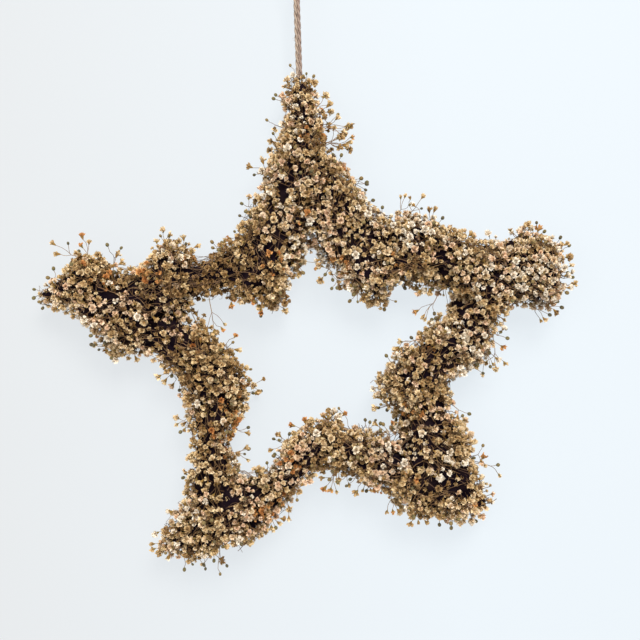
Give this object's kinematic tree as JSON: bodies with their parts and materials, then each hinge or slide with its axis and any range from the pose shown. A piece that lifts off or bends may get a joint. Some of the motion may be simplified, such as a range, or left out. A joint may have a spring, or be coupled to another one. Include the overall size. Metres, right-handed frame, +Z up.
{
  "type": "dried flower star wreath",
  "caption": "Open five-pointed star wreath bound all round with small dried flowers, hanging from a doubled twine loop",
  "frame": {"origin": "top of the twine loop, where the nail or hook bears", "axes": "+Z up, +X to the right seen from the front, front faces -Y, back to the wall at +Y"},
  "size_m": [0.36, 0.0476, 0.4115],
  "materials": {
    "dried_flowers": "dry matte petals, cream to tan, over dark olive-brown stems",
    "jute_twine": "rough two-ply natural jute"
  },
  "bodies": {
    "root": {"top_tip": "dried_flowers", "right_tip": "dried_flowers", "lower_right_tip": "dried_flowers", "lower_left_tip": "dried_flowers", "left_tip": "dried_flowers", "top_right_limb": "dried_flowers", "right_upper_limb": "dried_flowers", "right_lower_limb": "dried_flowers", "lower_right_upper_limb": "dried_flowers", "lower_right_lower_limb": "dried_flowers", "lower_left_lower_limb": "dried_flowers", "lower_left_upper_limb": "dried_flowers", "left_lower_limb": "dried_flowers", "left_upper_limb": "dried_flowers", "top_left_limb": "dried_flowers", "twine_loop": "jute_twine"}
  },
  "joints": []
}
